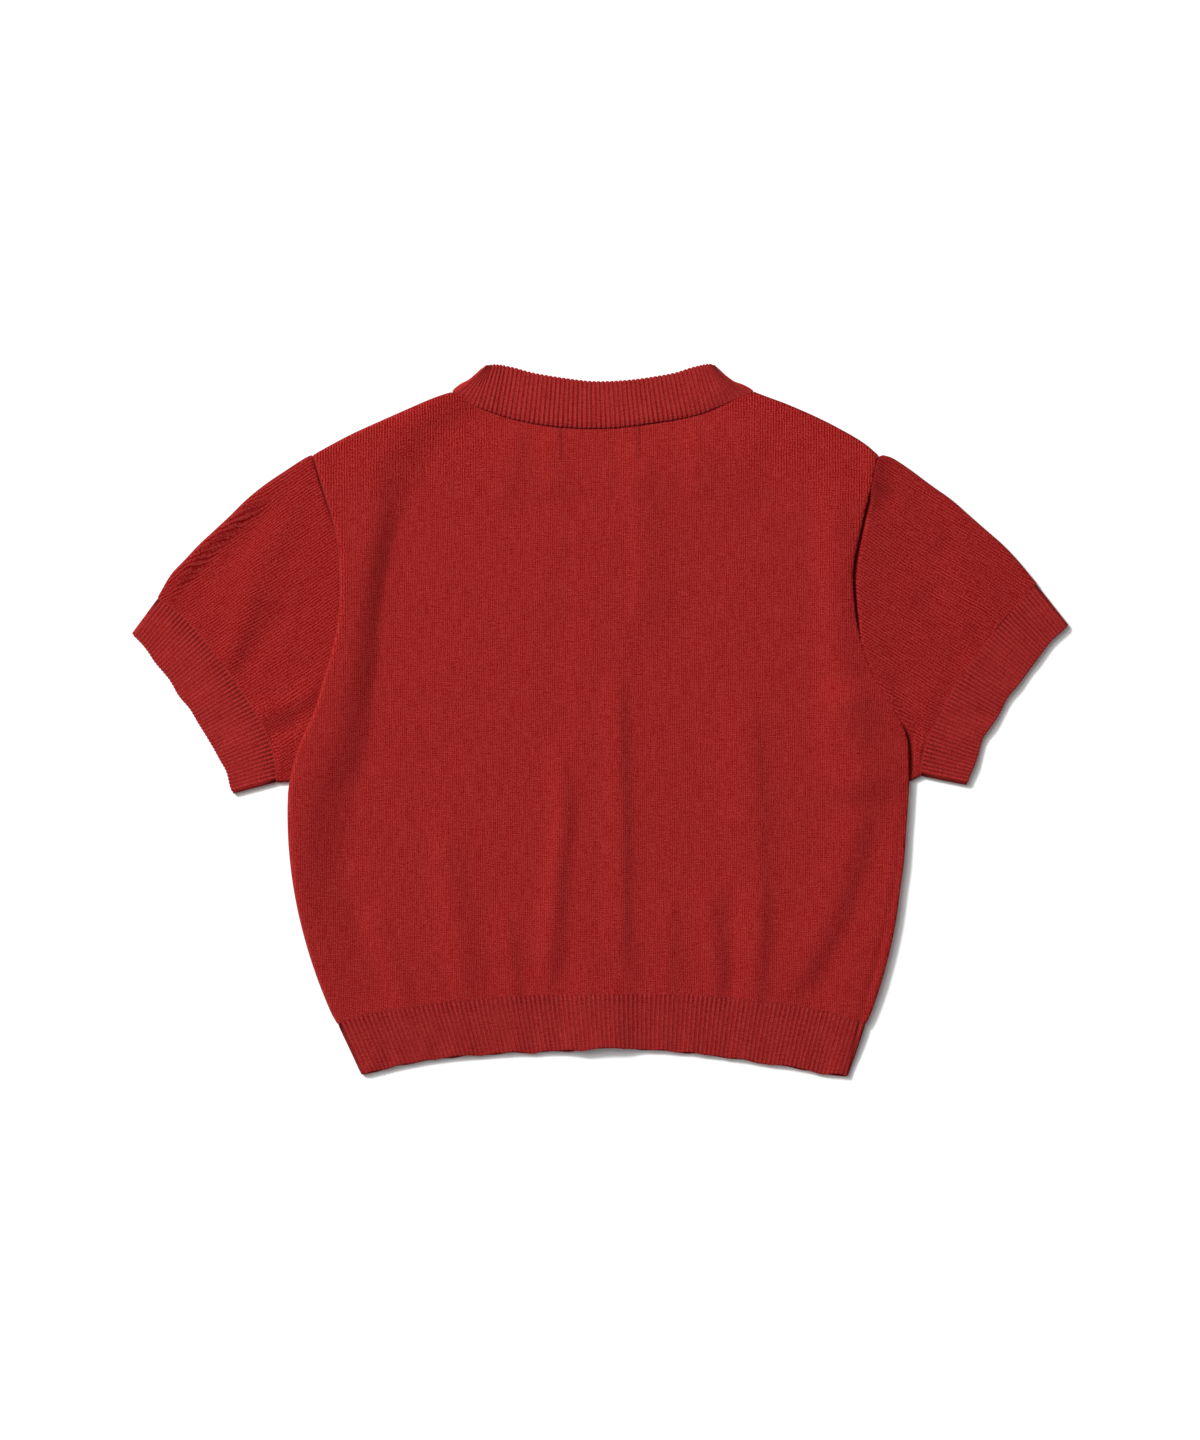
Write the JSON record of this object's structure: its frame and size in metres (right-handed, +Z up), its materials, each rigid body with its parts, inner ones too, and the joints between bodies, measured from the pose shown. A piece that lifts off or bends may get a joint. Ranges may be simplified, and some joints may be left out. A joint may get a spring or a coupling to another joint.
{
  "type": "cropped cardigan",
  "caption": "Cropped short-sleeved cardigan in fine knit with rib neckband, cuffs and hem, buttoned and laid flat face down, its back facing up.",
  "frame": {"origin": "centre of the laid garment's outline, on the surface that it lies on", "axes": "+X from the wearer's left sleeve to the right one, +Y from the hem to the neck, +Z up out of the back panel"},
  "size_m": [0.6555, 0.499, 0.0083],
  "materials": {
    "jersey_knit": "fine heathered red plain knit, matt with a faint nap",
    "rib_knit": "one-by-one rib in the same red yarn, matt",
    "button_plastic": "dyed to match, soft gloss"
  },
  "bodies": {
    "root": {"back_panel": "jersey_knit", "front_left": "jersey_knit", "front_right": "jersey_knit", "sleeve_left": "jersey_knit", "sleeve_right": "jersey_knit", "hem_rib_back": "rib_knit", "hem_rib_front_left": "rib_knit", "hem_rib_front_right": "rib_knit", "neckband": "rib_knit", "cuff_left": "rib_knit", "cuff_right": "rib_knit", "button_band": "rib_knit", "buttonhole_band": "rib_knit", "button_1": "button_plastic", "button_2": "button_plastic", "button_3": "button_plastic", "button_4": "button_plastic", "button_5": "button_plastic", "button_6": "button_plastic"}
  },
  "joints": []
}
